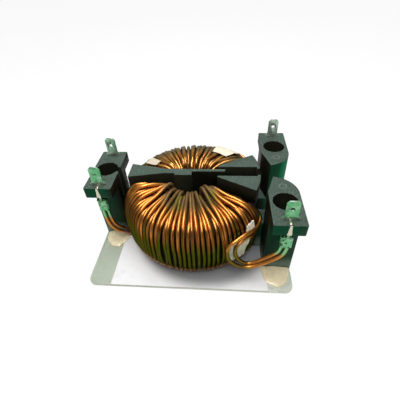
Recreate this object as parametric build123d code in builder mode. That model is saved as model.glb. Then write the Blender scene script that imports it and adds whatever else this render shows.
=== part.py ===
"""Toroidal inductor on a mounting plate.

Two twin-wire windings share one ring core that lies flat. Moulded posts hold the ring up from
below, moulded dividers keep the windings apart above it and in its hole, and four blade terminals
on the posts take the ends of the wires. Millimetres, +Z up, origin under the middle of the plate.
The front is at -Y, and the back half mirrors it.
"""
import os
from math import cos, radians, sin

from build123d import *

os.makedirs("parts", exist_ok=True)

# Mounting plate, and the insulating sheet that lies on it
plate_length = 117.5
plate_width = 97.8
plate_thickness = 1.5
plate_corner = 5.0
sheet_length = 90.0
sheet_thickness = 0.4
foot_clearance = 0.3

# Ring core: flats stand in for its rounds, and a wrap builds it out under the windings
core_outer_radius = 38.5
core_inner_radius = 18.05
core_bottom = 7.5
core_side_bottom = 12.9
core_side_top = 26.8
core_shoulder = 34.6
core_top = 38.0
core_foot_taper = 34.4
core_shoulder_taper = 16.4
core_crown_taper = 52.3
core_sides = 30
core_clearance = 0.3
wrap_depth = 1.0
wrap_arc = (198.0, 320.0)
bare_corner_angles = (180, 348, 360)

# Posts: a head overhangs each body, and a well runs down through it to a screw hole in the plate
head_top = 48.3
head_thickness = 6.7
head_overhang = 10.0
edge_chamfer = 0.6
well_diameter = 12.9
screw_hole_diameter = 6.5
ledge_top = 22.5
left_post_inner_x = -42.8
left_head_width = 37.8
left_well_x = -50.6
left_slit_width = 4.0
left_arm_end_x = -14.0
left_arm_root_width = 9.4
left_arm_tip_width = 4.8
left_ledge_end_x = -30.5
right_post_inner_x = 42.4
right_head_outer_y = 43.0
right_well_x = 50.5
right_well_y = 25.9
right_kink_y = 18.4
right_nose = (46.6, 5.2)
right_shoulder = (52.5, 7.8)
right_round_start_y = 19.3
right_arm_tip = (15.4, 5.5)
right_arm_corner = (36.7, 17.2)
right_arm_root_x = 43.6
right_channel_y = 5.0
right_arm_gap = 0.6

# Dividers: wedges above the ring, walls in its hole, and a tongue that lies in a trough
divider_top = 47.6
left_wedge_end_x = -36.5
left_wedge_end_width = 13.0
left_wedge_waist_x = -15.5
left_wall_front_y = -2.6
left_wall_back_y = 1.9
left_wall_start_x = -17.4
left_wall_end_x = 14.0
left_boss_start_x = -9.5
left_boss_end_x = 0.6
left_boss_y = -4.2
tongue_front_y = -0.5
tongue_end_x = 20.0
trough_width = 8.6
trough_floor = 40.0
tongue_clearance = 0.3
wedge_end_radius = 40.3
lip_start_x = 38.3
lip_gap = 6.0
right_leg_end_x = 17.2

# Blade terminals
terminal_gauge = 0.8
blade_width = 6.3
blade_rise = 11.9
blade_tip_chamfer = 1.3
blade_hole_diameter = 2.0
blade_hole_sides = 12
blade_hole_rise = 7.0
shoulder_width = 8.6
shoulder_rise = 1.2
shoulder_taper_rise = 2.6
stem_width = 1.2
stem_depth = 3.6
slot_width = 1.3
slot_depth = 4.6
barrel_drop = 3.2
barrel_length = 7.4
barrel_outset = 1.35
lobe_radius = 1.7
lobe_sides = 8
barrel_web = 2.4
channel_apothem = 0.9
left_terminal = (-50.85, 14.98)
right_terminal = (50.7, 38.85)

# Windings: two wires side by side, laid in three steps where they crowd into the hole. Outside the
# core they sit a little towards +X, and the rear winding bulges
wire_radius = 0.84
wire_sides = 6
wire_end_rise = 0.6
wire_pair_offset = 1.5
turns = 20
winding_start = 196.2
winding_end = 333.0
layers = 3
layer_step = 1.85
hole_radius = 17.05
hole_bottom = 6.55
hole_top = 38.95
top_radius = 36.5
top_radius_step = 1.5
top_height = 39.1
top_height_step = 1.1
shoulder_point = (40.6, 35.2)
upper_side_point = (42.7, 27.0)
lower_side_point = (42.7, 12.5)
under_point = (38.0, 4.4)
winding_offset = 1.3
rear_bulge = 3.3

# Ends of the windings, from the left crimp to the ring and from the ring to the right crimp
lead_in_a = [
    (-49.35, -16.33, 26.5),
    (-48.7, -15.9, 19.0),
    (-47.0, -14.8, 13.0),
    (-44.4, -12.5, 8.6),
    (-41.6, -9.9, 4.2),
]
lead_in_b = [
    (-52.35, -16.33, 26.5),
    (-51.1, -16.9, 18.4),
    (-48.4, -17.0, 12.6),
    (-46.0, -16.3, 9.8),
    (-43.6, -14.5, 7.0),
    (-41.0, -11.5, 3.4),
]
lead_tail_count = 2
lead_out_point_a = (44.5, 27.5)
lead_out_point_b = (44.3, 31.6)
lead_out_a = [
    (35.9, -30.0, 27.0),
    (28.6, -37.3, 28.0),
    (26.2, -39.3, 26.0),
    (26.0, -40.1, 21.5),
    (27.7, -39.9, 17.0),
    (30.9, -39.5, 13.9),
    (35.0, -39.4, 14.2),
    (46.4, -39.5, 22.4),
    (49.2, -40.2, 27.5),
]
lead_out_b = [
    (37.4, -29.0, 30.7),
    (26.8, -38.9, 30.6),
    (22.6, -41.2, 29.4),
    (21.2, -42.0, 25.3),
    (21.6, -42.0, 20.3),
    (24.6, -41.8, 15.0),
    (30.0, -41.4, 11.7),
    (35.6, -41.3, 12.3),
    (49.0, -41.1, 21.9),
    (52.2, -40.2, 27.5),
]

# White tape over the ends of the windings, and adhesive round the posts' feet
tape_thickness = 0.5
tape_panel_count = 2
tape_low = 14.0
tape_side = (43.95, 27.45)
tape_edge = (41.6, 35.9)
tape_crown = (34.0, 42.5)
tape_inner = (26.0, 42.95)
tape_front_right_arc = (298.0, 320.5)
tape_rear_right_arc = (42.0, 68.0)
tape_rear_left_arc = (148.0, 160.0)
bead_shares = [1.0, 0.94, 1.04, 0.97, 1.05, 0.93, 1.0, 0.96, 1.03, 0.95, 1.02, 0.96]
bead_base_rise = 1.6
bead_crown_rise = 1.6
bead_base_taper = 35.0
bead_crown_taper = 55.0
left_bead_reach = (7.8, 12.0)
right_bead_reach = (8.2, 12.4)

# Levels and places that follow from the sizes above
plate_top = plate_thickness
sheet_top = plate_top + sheet_thickness
head_bottom = head_top - head_thickness
left_outer_x = -plate_length / 2
right_outer_x = plate_length / 2
left_post_middle_x = (left_outer_x + left_post_inner_x) / 2
left_post_length = left_post_inner_x - left_outer_x
left_body_width = left_head_width - 2 * head_overhang
right_body_outer_y = right_head_outer_y - head_overhang
barrel_top = head_bottom - barrel_drop
barrel_bottom = barrel_top - barrel_length
wire_end = barrel_top + wire_end_rise
wire_step = (winding_end - winding_start) / (2 * turns - 1)
screw_places = [(left_well_x, 0), (right_well_x, -right_well_y), (right_well_x, right_well_y)]


def on_ring(radius, height, angle):
    """Point at a radius and height, at an angle about the ring's axis."""
    return (radius * cos(radians(angle)), radius * sin(radians(angle)), height)


def bulge(angle, side):
    """How far a winding stands off the core along Y, at an angle about the ring's axis."""
    return rear_bulge * sin(radians(angle)) ** 2 if side > 0 else 0


def on_winding(radius, height, angle, side):
    """Point of a winding laid out at the front, carried off centre as it leaves the hole."""
    share = max(0, radius - hole_radius) / (upper_side_point[0] - hole_radius)
    x, y, z = on_ring(radius, height, angle)
    return (x + winding_offset * share, y - bulge(angle, side) * share, z)


def mirrored(points, side):
    """Points of the front half (side -1), or the same points carried to the back (side 1)."""
    return [(x, -side * y, z) for x, y, z in points]


def right_post_outline(height, outer_y, side):
    """Outline of one right-hand post seen from above, out to the given face."""
    start = (right_outer_x, side * right_round_start_y)
    shoulder = (right_shoulder[0], side * right_shoulder[1])
    with BuildSketch(Plane.XY.offset(height)) as outline:
        with BuildLine():
            TangentArc(start, shoulder, tangent=(0, -side))
            Polyline(
                shoulder,
                (right_nose[0], side * right_nose[1]),
                (right_post_inner_x, side * right_kink_y),
                (right_post_inner_x, side * outer_y),
                (right_outer_x, side * outer_y),
                start,
            )
        make_face()
    return outline.sketch


# Base plate with a screw hole under each well
with BuildPart() as base_plate:
    with BuildSketch():
        RectangleRounded(plate_length, plate_width, plate_corner)
        with Locations(*screw_places):
            Circle(screw_hole_diameter / 2, mode=Mode.SUBTRACT)
    extrude(amount=plate_thickness)
base_plate.part.label = "base_plate"
export_step(base_plate.part, "parts/base_plate.step")

# Insulating sheet, cut away round the feet of the posts
with BuildPart() as insulating_sheet:
    with BuildSketch(Plane.XY.offset(plate_top)):
        Rectangle(sheet_length, plate_width)
        with Locations((left_post_middle_x, 0)):
            foot_length = left_post_length + 2 * foot_clearance
            foot_width = left_body_width + 2 * foot_clearance
            Rectangle(foot_length, foot_width, mode=Mode.SUBTRACT)
        notch_start = right_post_inner_x - foot_clearance
        notch_length = sheet_length / 2 - notch_start
        notch_outer = right_body_outer_y + foot_clearance
        notch_inner = right_nose[1] - foot_clearance
        for side in (-1, 1):
            notch_middle = side * (notch_outer + notch_inner) / 2
            with Locations((notch_start + notch_length / 2, notch_middle)):
                Rectangle(notch_length, notch_outer - notch_inner, mode=Mode.SUBTRACT)
    extrude(amount=sheet_thickness)
insulating_sheet.part.label = "insulating_sheet"
export_step(insulating_sheet.part, "parts/insulating_sheet.step")

# Left post: a T-shaped block with one well, a low ledge and an arm that reaches under the ring
with BuildPart() as left_post:
    with BuildSketch(Plane.XY.offset(plate_top)):
        with Locations((left_post_middle_x, 0)):
            Rectangle(left_post_length, left_body_width)
    extrude(amount=head_top - plate_top)
    with BuildSketch(Plane.XY.offset(head_bottom)):
        with Locations((left_post_middle_x, 0)):
            Rectangle(left_post_length, left_head_width)
    extrude(amount=head_thickness)
    chamfer(left_post.edges().filter_by(Axis.Z), edge_chamfer)
    with BuildSketch(Plane.XY.offset(sheet_top)):
        ledge_length = left_ledge_end_x - left_post_inner_x
        with Locations((left_post_inner_x + ledge_length / 2, 0)):
            Rectangle(ledge_length, left_arm_root_width)
    extrude(amount=ledge_top - sheet_top)
    with BuildSketch(Plane.XY.offset(core_bottom)):
        Circle(core_outer_radius + core_clearance)
    extrude(amount=ledge_top - core_bottom, mode=Mode.SUBTRACT)
    with BuildSketch(Plane.XY.offset(sheet_top)):
        with BuildLine():
            Polyline(
                (left_post_inner_x, -left_arm_root_width / 2),
                (left_wedge_end_x, -left_arm_root_width / 2),
                (left_arm_end_x, -left_arm_tip_width / 2),
                (left_arm_end_x, left_arm_tip_width / 2),
                (left_wedge_end_x, left_arm_root_width / 2),
                (left_post_inner_x, left_arm_root_width / 2),
                close=True,
            )
        make_face()
    extrude(amount=core_bottom - sheet_top)
    with BuildSketch(Plane.XY.offset(plate_top)):
        with Locations((left_well_x, 0)):
            Circle(well_diameter / 2)
    extrude(amount=head_top - plate_top, mode=Mode.SUBTRACT)
    with BuildSketch(Plane.XY.offset(ledge_top)):
        slit_length = left_post_inner_x - left_well_x
        with Locations((left_well_x + slit_length / 2, 0)):
            Rectangle(slit_length, left_slit_width)
    extrude(amount=head_top - ledge_top, mode=Mode.SUBTRACT)
    with BuildSketch(Plane.XY.offset(head_bottom)):
        for side in (-1, 1):
            with Locations((left_terminal[0], side * (left_head_width - slot_depth) / 2)):
                Rectangle(slot_width, slot_depth)
    extrude(amount=head_thickness, mode=Mode.SUBTRACT)
left_post.part.label = "left_post"
export_step(left_post.part, "parts/left_post.step")

# Right posts: a mirrored pair of blocks with a well each, whose arms meet under the ring
for row, side in (("front", -1), ("rear", 1)):
    with BuildPart() as right_post:
        extrude(right_post_outline(plate_top, right_body_outer_y, side), amount=head_top - plate_top)
        extrude(right_post_outline(head_bottom, right_head_outer_y, side), amount=head_thickness)
        chamfer(right_post.edges().filter_by(Axis.Z).group_by(SortBy.DISTANCE)[-1], edge_chamfer)
        with BuildSketch(Plane.XY.offset(sheet_top)):
            with BuildLine():
                Polyline(
                    (right_arm_corner[0], side * right_channel_y),
                    (right_arm_corner[0], side * right_arm_corner[1]),
                    (right_arm_root_x, side * right_arm_corner[1]),
                    (right_nose[0], side * right_nose[1]),
                    (right_nose[0], side * right_channel_y),
                    close=True,
                )
            make_face()
        extrude(amount=ledge_top - sheet_top)
        with BuildSketch(Plane.XY.offset(core_bottom)):
            Circle(core_outer_radius + core_clearance)
        extrude(amount=ledge_top - core_bottom, mode=Mode.SUBTRACT)
        with BuildSketch(Plane.XY.offset(sheet_top)):
            with BuildLine():
                Polyline(
                    (right_arm_tip[0], side * right_arm_gap / 2),
                    (right_arm_tip[0], side * right_arm_tip[1]),
                    (right_arm_corner[0], side * right_arm_corner[1]),
                    (right_arm_root_x, side * right_arm_corner[1]),
                    (right_nose[0], side * right_nose[1]),
                    (right_nose[0], side * right_arm_gap / 2),
                    close=True,
                )
            make_face()
        extrude(amount=core_bottom - sheet_top)
        with BuildSketch(Plane.XY.offset(plate_top)):
            with Locations((right_well_x, side * right_well_y)):
                Circle(well_diameter / 2)
        extrude(amount=head_top - plate_top, mode=Mode.SUBTRACT)
        with BuildSketch(Plane.XY.offset(head_bottom)):
            with Locations((right_terminal[0], side * (right_head_outer_y - slot_depth / 2))):
                Rectangle(slot_width, slot_depth)
        extrude(amount=head_thickness, mode=Mode.SUBTRACT)
    right_post.part.label = f"{row}_right_post"
    export_step(right_post.part, f"parts/{row}_right_post.step")

# Ring core, bare at the posts and dividers and wrapped out to the windings between them
core_outline = []
for corner in range(core_sides):
    angle = corner * 360 / core_sides
    side = 1 if angle < 180 else -1
    folded = max(angle, 360 - angle)
    if wrap_arc[0] < folded < wrap_arc[1]:
        wrapped = on_winding(upper_side_point[0] - wrap_depth, core_side_top, folded, side)
        core_outline += mirrored([wrapped], side)
    elif folded in bare_corner_angles:
        core_outline.append(on_ring(core_outer_radius, core_side_top, angle))
with BuildPart() as toroid_core:
    with BuildSketch(Plane.XY.offset(core_side_bottom)):
        Polygon(*[(x, y) for x, y, z in core_outline], align=None)
    extrude(amount=core_side_top - core_side_bottom)
    side_bottom, side_top = toroid_core.faces().filter_by(Axis.Z).sort_by(Axis.Z)
    extrude(side_bottom, amount=core_side_bottom - core_bottom, taper=core_foot_taper)
    extrude(side_top, amount=core_shoulder - core_side_top, taper=core_shoulder_taper)
    shoulder_face = toroid_core.faces().sort_by(Axis.Z)[-1]
    extrude(shoulder_face, amount=core_top - core_shoulder, taper=core_crown_taper)
    with BuildSketch(Plane.XY.offset(core_bottom)):
        RegularPolygon(core_inner_radius, core_sides)
    extrude(amount=core_top - core_bottom, mode=Mode.SUBTRACT)
toroid_core.part.label = "toroid_core"
export_step(toroid_core.part, "parts/toroid_core.step")

# Left divider: a wedge above the ring, a wall down through the hole, and the tongue
with BuildPart() as left_divider:
    with BuildSketch(Plane.XY.offset(core_top)):
        with BuildLine():
            Polyline(
                (left_wedge_end_x, -left_wedge_end_width / 2),
                (left_wedge_waist_x, left_wall_front_y),
                (left_wedge_waist_x, left_wall_back_y),
                (left_wedge_end_x, left_wedge_end_width / 2),
                close=True,
            )
        make_face()
    extrude(amount=divider_top - core_top)
    with BuildSketch(Plane.XY.offset(core_bottom)):
        with BuildLine():
            Polyline(
                (left_wall_start_x, left_wall_front_y),
                (left_boss_start_x, left_wall_front_y),
                (left_boss_start_x, left_boss_y),
                (left_boss_end_x, left_boss_y),
                (left_boss_end_x, tongue_front_y),
                (left_wall_end_x, tongue_front_y),
                (left_wall_end_x, left_wall_back_y),
                (left_wall_start_x, left_wall_back_y),
                close=True,
            )
        make_face()
    extrude(amount=divider_top - core_bottom)
    with BuildSketch(Plane.XY.offset(trough_floor + tongue_clearance)):
        with Locations(((left_wall_end_x + tongue_end_x) / 2, (tongue_front_y + left_wall_back_y) / 2)):
            Rectangle(tongue_end_x - left_wall_end_x, left_wall_back_y - tongue_front_y)
    extrude(amount=divider_top - trough_floor - tongue_clearance)
left_divider.part.label = "left_divider"
export_step(left_divider.part, "parts/left_divider.step")

# Right divider: a wedge with a trough along it, lips at its mouth, and a leg down in the hole
with BuildPart() as right_divider:
    with BuildSketch(Plane.XY.offset(core_top)):
        with BuildLine():
            Polyline(
                right_arm_corner,
                right_arm_tip,
                (right_arm_tip[0], -right_arm_tip[1]),
                (right_arm_corner[0], -right_arm_corner[1]),
            )
            ThreePointArc(
                (right_arm_corner[0], -right_arm_corner[1]),
                (wedge_end_radius, 0),
                right_arm_corner,
            )
        make_face()
    extrude(amount=divider_top - core_top)
    with BuildSketch(Plane.XY.offset(trough_floor)):
        with Locations(((right_arm_tip[0] + lip_start_x) / 2, 0)):
            Rectangle(lip_start_x - right_arm_tip[0], trough_width)
        with Locations(((lip_start_x + right_nose[0]) / 2, 0)):
            Rectangle(right_nose[0] - lip_start_x, lip_gap)
    extrude(amount=divider_top - trough_floor, mode=Mode.SUBTRACT)
    with BuildSketch(Plane.XY.offset(core_bottom)):
        with Locations(((right_arm_tip[0] + right_leg_end_x) / 2, 0)):
            Rectangle(right_leg_end_x - right_arm_tip[0], trough_width)
    extrude(amount=trough_floor - core_bottom)
right_divider.part.label = "right_divider"
export_step(right_divider.part, "parts/right_divider.step")


def blade_terminal(place, side):
    """Blade with shoulders, a stem through the head's slot, and a crimp round two wires."""
    x, y = place[0], side * place[1]
    with BuildPart() as terminal:
        with BuildSketch(Plane.XZ.offset(-y)):
            with BuildLine():
                Polyline(
                    (x - shoulder_width / 2, head_top),
                    (x + shoulder_width / 2, head_top),
                    (x + shoulder_width / 2, head_top + shoulder_rise),
                    (x + blade_width / 2, head_top + shoulder_taper_rise),
                    (x + blade_width / 2, head_top + blade_rise - blade_tip_chamfer),
                    (x + blade_width / 2 - blade_tip_chamfer, head_top + blade_rise),
                    (x - blade_width / 2 + blade_tip_chamfer, head_top + blade_rise),
                    (x - blade_width / 2, head_top + blade_rise - blade_tip_chamfer),
                    (x - blade_width / 2, head_top + shoulder_taper_rise),
                    (x - shoulder_width / 2, head_top + shoulder_rise),
                    close=True,
                )
            make_face()
            with Locations((x, head_top + blade_hole_rise)):
                RegularPolygon(blade_hole_diameter / 2, blade_hole_sides, mode=Mode.SUBTRACT)
        extrude(amount=terminal_gauge / 2, both=True)
        with BuildSketch(Plane.XY.offset(barrel_top)):
            with Locations((x, y + side * (stem_depth - terminal_gauge) / 2)):
                Rectangle(stem_width, stem_depth)
        extrude(amount=head_top - barrel_top)
        with BuildSketch(Plane.XY.offset(barrel_bottom)):
            barrel_y = y + side * barrel_outset
            with Locations((x, barrel_y)):
                Rectangle(2 * wire_pair_offset, barrel_web)
            with Locations((x - wire_pair_offset, barrel_y), (x + wire_pair_offset, barrel_y)):
                RegularPolygon(lobe_radius, lobe_sides, rotation=180 / lobe_sides)
                RegularPolygon(channel_apothem, wire_sides, major_radius=False, mode=Mode.SUBTRACT)
        extrude(amount=barrel_length)
    return terminal


for end, place in (("left", left_terminal), ("right", right_terminal)):
    for row, side in (("front", -1), ("rear", 1)):
        terminal = blade_terminal(place, side)
        terminal.part.label = f"terminal_{row}_{end}"
        export_step(terminal.part, f"parts/terminal_{row}_{end}.step")


def winding_route(strand, side):
    """Route of one wire from its left crimp, round the ring turn by turn, to its right crimp."""
    lead_in, lead_out, out_point = (
        (lead_in_a, lead_out_a, lead_out_point_a),
        (lead_in_b, lead_out_b, lead_out_point_b),
    )[strand]
    route = [(lead_in[0][0], lead_in[0][1], wire_end)] + lead_in
    route.append(on_winding(*under_point, winding_start + wire_step * (strand - 2), side))
    for turn in range(turns):
        lay = 2 * turn + strand
        angle = winding_start + wire_step * lay
        layer = lay % layers
        inner = hole_radius - layer_step * layer
        route.append(on_ring(inner, hole_bottom - layer_step * layer, angle))
        route.append(on_ring(inner, hole_top + layer_step * layer, angle))
        crown_radius = top_radius - top_radius_step * layer
        route.append(on_winding(crown_radius, top_height + top_height_step * layer, angle, side))
        route.append(on_winding(*shoulder_point, angle, side))
        if turn < turns - 1:
            route.append(on_winding(*upper_side_point, angle, side))
            route.append(on_winding(*lower_side_point, angle, side))
            route.append(on_winding(*under_point, angle, side))
        else:
            route.append(on_winding(*out_point, angle, side))
    slack = bulge(tape_rear_right_arc[1], side)
    route += [(x, y - slack, z) for x, y, z in lead_out[:-lead_tail_count]]
    route += lead_out[-lead_tail_count:]
    route.append((lead_out[-1][0], lead_out[-1][1], wire_end))
    return mirrored(route, side)


for row, side in (("front", -1), ("rear", 1)):
    for strand, letter in enumerate("ab"):
        route = winding_route(strand, side)
        with BuildPart() as wire:
            with BuildLine() as path:
                Polyline(*route)
            with BuildSketch(Plane(origin=route[0], x_dir=(1, 0, 0), z_dir=(0, 0, -1))):
                RegularPolygon(wire_radius, wire_sides)
            sweep(path=path.line, transition=Transition.RIGHT)
        wire.part.label = f"{row}_wire_{letter}"
        export_step(wire.part, f"parts/{row}_wire_{letter}.step")

# Strips of tape that lie in flat panels on the outside of the windings
long_strip = [(tape_side[0], tape_low), tape_side, tape_edge]
short_strip = [tape_edge, tape_crown, tape_inner]
crown_strip = [tape_crown, tape_inner]
for name, strip, arc, side in (
    ("tape_front_right", long_strip, tape_front_right_arc, -1),
    ("tape_rear_right", short_strip, tape_rear_right_arc, 1),
    ("tape_rear_left", crown_strip, tape_rear_left_arc, 1),
):
    centre = Vector(winding_offset, max(bulge(edge, side) for edge in arc), 0)
    panel_angle = (arc[1] - arc[0]) / tape_panel_count
    corner_angles = [arc[1] - panel_angle * panel for panel in range(tape_panel_count + 1)]
    corners = [centre + Vector(*on_ring(tape_side[0], 0, angle)) for angle in corner_angles]
    facing = arc[1] - panel_angle / 2
    across = Plane(centre, x_dir=on_ring(1, 0, facing), z_dir=on_ring(1, 0, facing - 90))
    half_panel = tape_side[0] * sin(radians(panel_angle / 2))
    with BuildPart() as tape:
        with BuildLine() as path:
            Polyline(*corners)
        with BuildSketch(across.offset(-half_panel)):
            with BuildLine():
                Polyline(*strip)
                offset(amount=tape_thickness, kind=Kind.INTERSECTION, side=Side.RIGHT, closed=True)
            make_face()
        sweep(path=path.line, transition=Transition.RIGHT)
    tape.part.label = name
    export_step(tape.part, f"parts/{name}.step")

# Beads of adhesive between the posts' outer faces and the plate, moulded to the sheet's edge
for end, middle_x, face_y, reach in (
    ("left", left_well_x, left_body_width / 2, left_bead_reach),
    ("right", right_well_x - edge_chamfer, right_body_outer_y, right_bead_reach),
):
    for row, side in (("front", -1), ("rear", 1)):
        outline = []
        for index, share in enumerate(bead_shares):
            angle = radians(index * 360 / len(bead_shares))
            across = middle_x + reach[0] * share * cos(angle)
            along = side * face_y + reach[1] * share * sin(angle)
            outline.append((across, along))
        with BuildPart() as bead:
            with BuildSketch(Plane.XY.offset(plate_top)):
                Polygon(*outline, align=None)
            extrude(amount=bead_base_rise, taper=bead_base_taper)
            extrude(bead.faces().sort_by(Axis.Z)[-1], amount=bead_crown_rise, taper=bead_crown_taper)
            split(bisect_by=Plane.XZ.offset(-side * face_y), keep=Keep.TOP if side < 0 else Keep.BOTTOM)
            with BuildSketch(Plane.XY.offset(plate_top)):
                Rectangle(sheet_length, plate_width)
            extrude(amount=sheet_thickness, mode=Mode.SUBTRACT)
        bead.part.label = f"adhesive_{row}_{end}"
        export_step(bead.part, f"parts/adhesive_{row}_{end}.step")
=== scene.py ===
"""Dressed model of a toroidal inductor on its mounting plate.

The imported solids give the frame. Round enamelled wire, woven tape and set adhesive replace their
plain solids, the mouldings, terminals, core and plate get softened edges, and every surface gets a
procedural finish. Sizes in the classes are in millimetres; everything in the scene is in metres.
"""

import logging
import math
import random
from dataclasses import dataclass, field
from enum import Enum
from functools import cache, reduce
from typing import Any, ClassVar

import bmesh
import bpy
from mathutils import Matrix, Vector, noise


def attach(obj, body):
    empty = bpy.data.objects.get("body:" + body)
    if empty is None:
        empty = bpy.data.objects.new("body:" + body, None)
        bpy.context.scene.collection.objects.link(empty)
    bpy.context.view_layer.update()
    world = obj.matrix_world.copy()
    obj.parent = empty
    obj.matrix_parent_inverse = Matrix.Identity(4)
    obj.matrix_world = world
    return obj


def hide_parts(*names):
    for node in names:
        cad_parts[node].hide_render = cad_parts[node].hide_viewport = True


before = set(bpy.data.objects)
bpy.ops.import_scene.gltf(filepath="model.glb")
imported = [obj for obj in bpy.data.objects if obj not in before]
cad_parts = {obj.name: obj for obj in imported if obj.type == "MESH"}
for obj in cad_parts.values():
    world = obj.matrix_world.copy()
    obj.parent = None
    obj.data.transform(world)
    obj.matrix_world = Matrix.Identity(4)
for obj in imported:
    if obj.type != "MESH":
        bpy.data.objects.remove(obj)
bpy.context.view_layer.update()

MM = 0.001
ROOT = "root"
LOG = logging.getLogger("toroidal_inductor")

Colour = tuple[float, float, float]
Point = tuple[float, float, float]
Pair = tuple[float, float]
Zone = tuple[float, float]
Socket = bpy.types.NodeSocket


class Row(Enum):
    """Half of the part: its front lies towards -Y, and the back half mirrors it."""

    FRONT = -1
    REAR = 1

    @property
    def label(self) -> str:
        """Name of the row as the nodes spell it."""
        return self.name.lower()


class End(Enum):
    """End of the part along X."""

    LEFT = "left"
    RIGHT = "right"


class Strand(Enum):
    """One of the two wires that are wound side by side."""

    A = 0
    B = 1

    @property
    def label(self) -> str:
        """Letter of the wire as the nodes spell it."""
        return self.name.lower()


# Middle of the rear blade at each end, and how far its stem's face lies beyond it
BLADES: dict[End, Pair] = {End.LEFT: (-50.85, 14.98), End.RIGHT: (50.7, 38.85)}
STEM_FACES: dict[End, float] = {End.LEFT: 3.98, End.RIGHT: 4.21}


class Canvas:
    """Short hand for adding and joining shader nodes in one node tree."""

    def __init__(self, tree: bpy.types.NodeTree) -> None:
        """Keep the node tree of a material, a world or a group."""
        self.tree = tree

    def node(self, kind: str, values: dict[Any, Any] | None = None, **settings: Any) -> bpy.types.Node:
        """Add a node.

        Args:
            kind: Node type without the ShaderNode prefix.
            values: Input values or sockets to join, by input name or index.
            settings: Properties of the node.

        Returns:
            The new node.
        """
        new = self.tree.nodes.new("ShaderNode" + kind)
        for key, value in settings.items():
            setattr(new, key, value)
        for key, value in (values or {}).items():
            self.feed(value, new.inputs[key])
        return new

    def feed(self, value: Any, socket: Socket) -> None:
        """Join a socket to an input, or set a plain value on the input.

        Args:
            value: Output socket, number, colour or vector.
            socket: Input that takes it.
        """
        if isinstance(value, Socket):
            self.tree.links.new(value, socket)
        elif socket.type == "RGBA" and len(value) == 3:
            socket.default_value = (*value, 1.0)
        else:
            socket.default_value = value

    def math(self, operation: str, *operands: Any, clamp: bool = False) -> Socket:
        """Number that a math operation makes of numbers or sockets, kept between 0 and 1 on demand."""
        return self.node("Math", dict(enumerate(operands)), operation=operation, use_clamp=clamp).outputs[0]

    def times(self, *factors: Any) -> Socket:
        """Product of numbers or masks."""
        return reduce(lambda product, factor: self.math("MULTIPLY", product, factor), factors)

    def inverse(self, mask: Any) -> Socket:
        """What a mask leaves out."""
        return self.math("SUBTRACT", 1.0, mask)

    def mix(self, factor: Any, a: Any, b: Any) -> Socket:
        """Colour mixed from two others.

        Args:
            factor: Share of the second colour.
            a: First colour or socket.
            b: Second colour or socket.

        Returns:
            Socket of the mixed colour.
        """
        values = {"Factor": factor, "A": a, "B": b}
        new = self.node("Mix", data_type="RGBA")
        for socket in new.inputs:
            if socket.name in values and socket.type == ("VALUE" if socket.name == "Factor" else "RGBA"):
                self.feed(values[socket.name], socket)
        return next(s for s in new.outputs if s.type == "RGBA")

    def step(self, value: Any, low: float, high: float, start: float = 0.0, end: float = 1.0) -> Socket:
        """Smooth step of a value between two limits, from a start to an end."""
        values = {"Value": value, "From Min": low, "From Max": high, "To Min": start, "To Max": end}
        return self.node("MapRange", values, interpolation_type="SMOOTHSTEP").outputs[0]

    def rise(self, value: Any, zone: Zone, top: float = 1.0) -> Socket:
        """Mask of a length that goes from 0 up to its top across a zone in millimetres."""
        return self.step(value, zone[0] * MM, zone[1] * MM, 0.0, top)

    def fall(self, value: Any, zone: Zone, top: float = 1.0) -> Socket:
        """Mask of a length that goes from its top down to 0 across a zone in millimetres."""
        return self.step(value, zone[0] * MM, zone[1] * MM, top, 0.0)

    def band(self, value: Any, up: Zone, down: Zone, top: float = 1.0) -> Socket:
        """Mask of a length that rises across one zone and falls across another."""
        return self.times(self.rise(value, up, top), self.fall(value, down))

    def noise(self, place: Any, scale: Any, detail: float = 3.0, rough: float = 0.55) -> Socket:
        """Soft noise from 0 to 1 over a place, with a scale in cells a metre."""
        values = {"Vector": place, "Scale": scale, "Detail": detail, "Roughness": rough}
        return self.node("TexNoise", values).outputs["Fac"]

    def split(self, place: Any) -> list[Socket]:
        """X, Y and Z of a vector socket, in a list."""
        return list(self.node("SeparateXYZ", {0: place}).outputs)

    def bump(self, height: Any, strength: float, depth: float) -> Socket:
        """Normal bent by a height, with a strength and a depth in millimetres."""
        values = {"Height": height, "Strength": strength, "Distance": depth * MM}
        return self.node("Bump", values).outputs["Normal"]


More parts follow.
